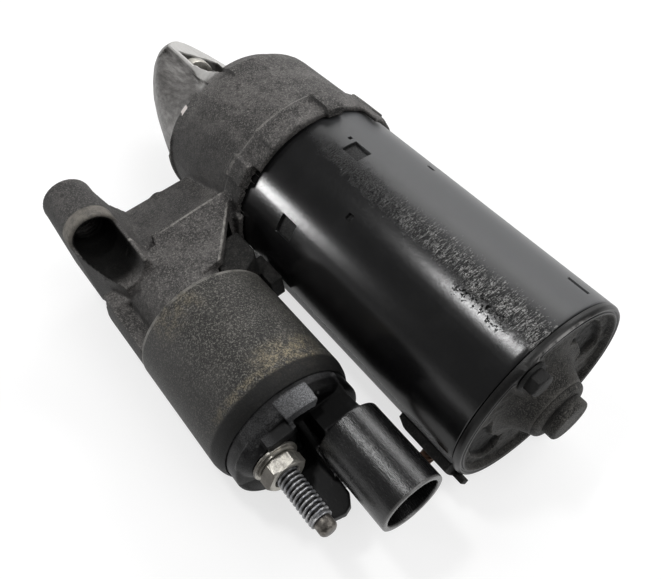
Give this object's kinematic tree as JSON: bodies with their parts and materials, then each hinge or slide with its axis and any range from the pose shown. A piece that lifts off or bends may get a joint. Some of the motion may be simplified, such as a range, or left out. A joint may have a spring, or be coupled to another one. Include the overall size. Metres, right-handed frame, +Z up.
{
  "type": "starter_motor",
  "caption": "Used car starter motor with a planetary reduction gear, a piggyback solenoid, an open nose with its pinion and a black painted yoke.",
  "frame": {"origin": "centre of the bounding box on the ground, under the motor", "axes": "+X points to the rear cover along the motor axis, +Z is up, the solenoid is at -Y; the motor lies on its yoke and its solenoid as in the picture"},
  "size_m": [0.2626, 0.1614, 0.0787],
  "materials": {
    "cast_aluminium": "rough",
    "black_paint": "semi_gloss",
    "dark_casting": "rough",
    "grey_steel": "matte",
    "zinc_steel": "satin",
    "hard_steel": "satin",
    "black_plastic": "satin",
    "rubber": "matte",
    "copper": "satin",
    "bronze": "satin",
    "ferrite": "matte",
    "carbon": "matte",
    "lamination": "matte",
    "gear_plastic": "matte"
  },
  "bodies": {
    "housing": {"drive_housing": "cast_aluminium", "field_frame": "black_paint", "battery_nut": "zinc_steel", "battery_stud": "zinc_steel", "battery_washer": "zinc_steel", "brush_plate": "gear_plastic", "brush_spring_1": "hard_steel", "brush_spring_2": "hard_steel", "brush_spring_3": "hard_steel", "brush_spring_4": "hard_steel", "centre_bush": "bronze", "coil_bobbin": "gear_plastic", "coil_winding": "copper", "connector_blade": "zinc_steel", "contact_spring": "hard_steel", "end_cover": "dark_casting", "gear_cover": "grey_steel", "lead_grommet": "rubber", "lever_pin": "hard_steel", "lever_seal": "rubber", "motor_lead": "copper", "motor_nut": "zinc_steel", "motor_stud": "zinc_steel", "nose_bush": "bronze", "pole_magnet_1": "ferrite", "pole_magnet_2": "ferrite", "pole_magnet_3": "ferrite", "pole_magnet_4": "ferrite", "rear_bush": "bronze", "return_spring": "hard_steel", "ring_gear": "gear_plastic", "solenoid_can": "grey_steel", "solenoid_cap": "black_plastic", "solenoid_core": "grey_steel", "solenoid_screw_1": "zinc_steel", "solenoid_screw_2": "zinc_steel", "through_bolt_1": "grey_steel", "through_bolt_2": "grey_steel"},
    "armature": {"armature_shaft": "hard_steel", "armature_core": "lamination", "armature_winding": "copper", "commutator": "copper"},
    "carrier": {"planet_carrier": "hard_steel", "stop_collar": "zinc_steel"},
    "planet_1": {"planet_gear_1": "hard_steel"},
    "planet_2": {"planet_gear_2": "hard_steel"},
    "planet_3": {"planet_gear_3": "hard_steel"},
    "drive": {"drive_clutch": "grey_steel"},
    "pinion": {"pinion": "hard_steel"},
    "lever": {"fork_lever": "grey_steel"},
    "plunger": {"plunger": "zinc_steel"},
    "contact": {"contact_bridge": "copper"},
    "brush_1": {"brush_1": "carbon"},
    "brush_2": {"brush_2": "carbon"},
    "brush_3": {"brush_3": "carbon"},
    "brush_4": {"brush_4": "carbon"}
  },
  "joints": [
    {"name": "armature_spin", "type": "hinge", "parent": "housing", "child": "armature", "pos_m": [0.0802, 0.01874, 0.038], "axis": [1, 0, 0], "continuous": true},
    {"name": "carrier_spin", "type": "hinge", "parent": "housing", "child": "carrier", "pos_m": [-0.0109, 0.01874, 0.038], "axis": [1, 0, 0], "continuous": true},
    {"name": "planet_spin_1", "type": "hinge", "parent": "carrier", "child": "planet_1", "pos_m": [-0.0062, 0.00187, 0.03777], "axis": [1, 0, 0], "continuous": true},
    {"name": "planet_spin_2", "type": "hinge", "parent": "carrier", "child": "planet_2", "pos_m": [-0.0062, 0.02738, 0.0235], "axis": [1, 0, 0], "continuous": true},
    {"name": "planet_spin_3", "type": "hinge", "parent": "carrier", "child": "planet_3", "pos_m": [-0.0062, 0.02698, 0.05273], "axis": [1, 0, 0], "continuous": true},
    {"name": "plunger_slide", "type": "slide", "parent": "housing", "child": "plunger", "axis": [1, 0, 0], "range_m": [0, 0.009], "stiffness_N_per_m": 1500, "springref_m": -0.014, "deforming": ["return_spring"]},
    {"name": "lever_swing", "type": "hinge", "parent": "housing", "child": "lever", "pos_m": [-0.0181, -0.02375, 0.03143], "axis": [0, -0.1528, 0.9883], "range_deg": [0, 18.17]},
    {"name": "drive_slide", "type": "slide", "parent": "carrier", "child": "drive", "axis": [-1, 0, 0], "range_m": [0, 0.013]},
    {"name": "pinion_overrun", "type": "hinge", "parent": "drive", "child": "pinion", "pos_m": [-0.0888, 0.01874, 0.038], "axis": [1, 0, 0], "continuous": true},
    {"name": "contact_slide", "type": "slide", "parent": "housing", "child": "contact", "axis": [1, 0, 0], "range_m": [0, 0.0022], "deforming": ["contact_spring"]},
    {"name": "brush_lift_1", "type": "slide", "parent": "housing", "child": "brush_1", "axis": [0, -0.9694, 0.2455], "range_m": [0, 0.002], "stiffness_N_per_m": 400, "springref_m": -0.008, "deforming": ["brush_spring_1"]},
    {"name": "brush_lift_2", "type": "slide", "parent": "housing", "child": "brush_2", "axis": [0, -0.2455, -0.9694], "range_m": [0, 0.002], "deforming": ["brush_spring_2"]},
    {"name": "brush_lift_3", "type": "slide", "parent": "housing", "child": "brush_3", "axis": [0, 0.9694, -0.2455], "range_m": [0, 0.002], "deforming": ["brush_spring_3"]},
    {"name": "brush_lift_4", "type": "slide", "parent": "housing", "child": "brush_4", "axis": [0, 0.2455, 0.9694], "range_m": [0, 0.002], "deforming": ["brush_spring_4"]}
  ],
  "couplings": [
    {"joint": "carrier_spin", "follows": "armature_spin", "ratio": 0.2037},
    {"joint": "planet_spin_1", "follows": "armature_spin", "ratio": -0.54745},
    {"joint": "planet_spin_2", "follows": "armature_spin", "ratio": -0.54745},
    {"joint": "planet_spin_3", "follows": "armature_spin", "ratio": -0.54745},
    {"joint": "lever_swing", "follows": "plunger_slide", "rad_per_m": 34.853},
    {"joint": "drive_slide", "follows": "plunger_slide", "ratio": 1.4444},
    {"joint": "contact_slide", "follows": "plunger_slide", "ratio": 0.24444},
    {"joint": "brush_lift_2", "follows": "brush_lift_1", "ratio": 1},
    {"joint": "brush_lift_3", "follows": "brush_lift_1", "ratio": 1},
    {"joint": "brush_lift_4", "follows": "brush_lift_1", "ratio": 1}
  ]
}
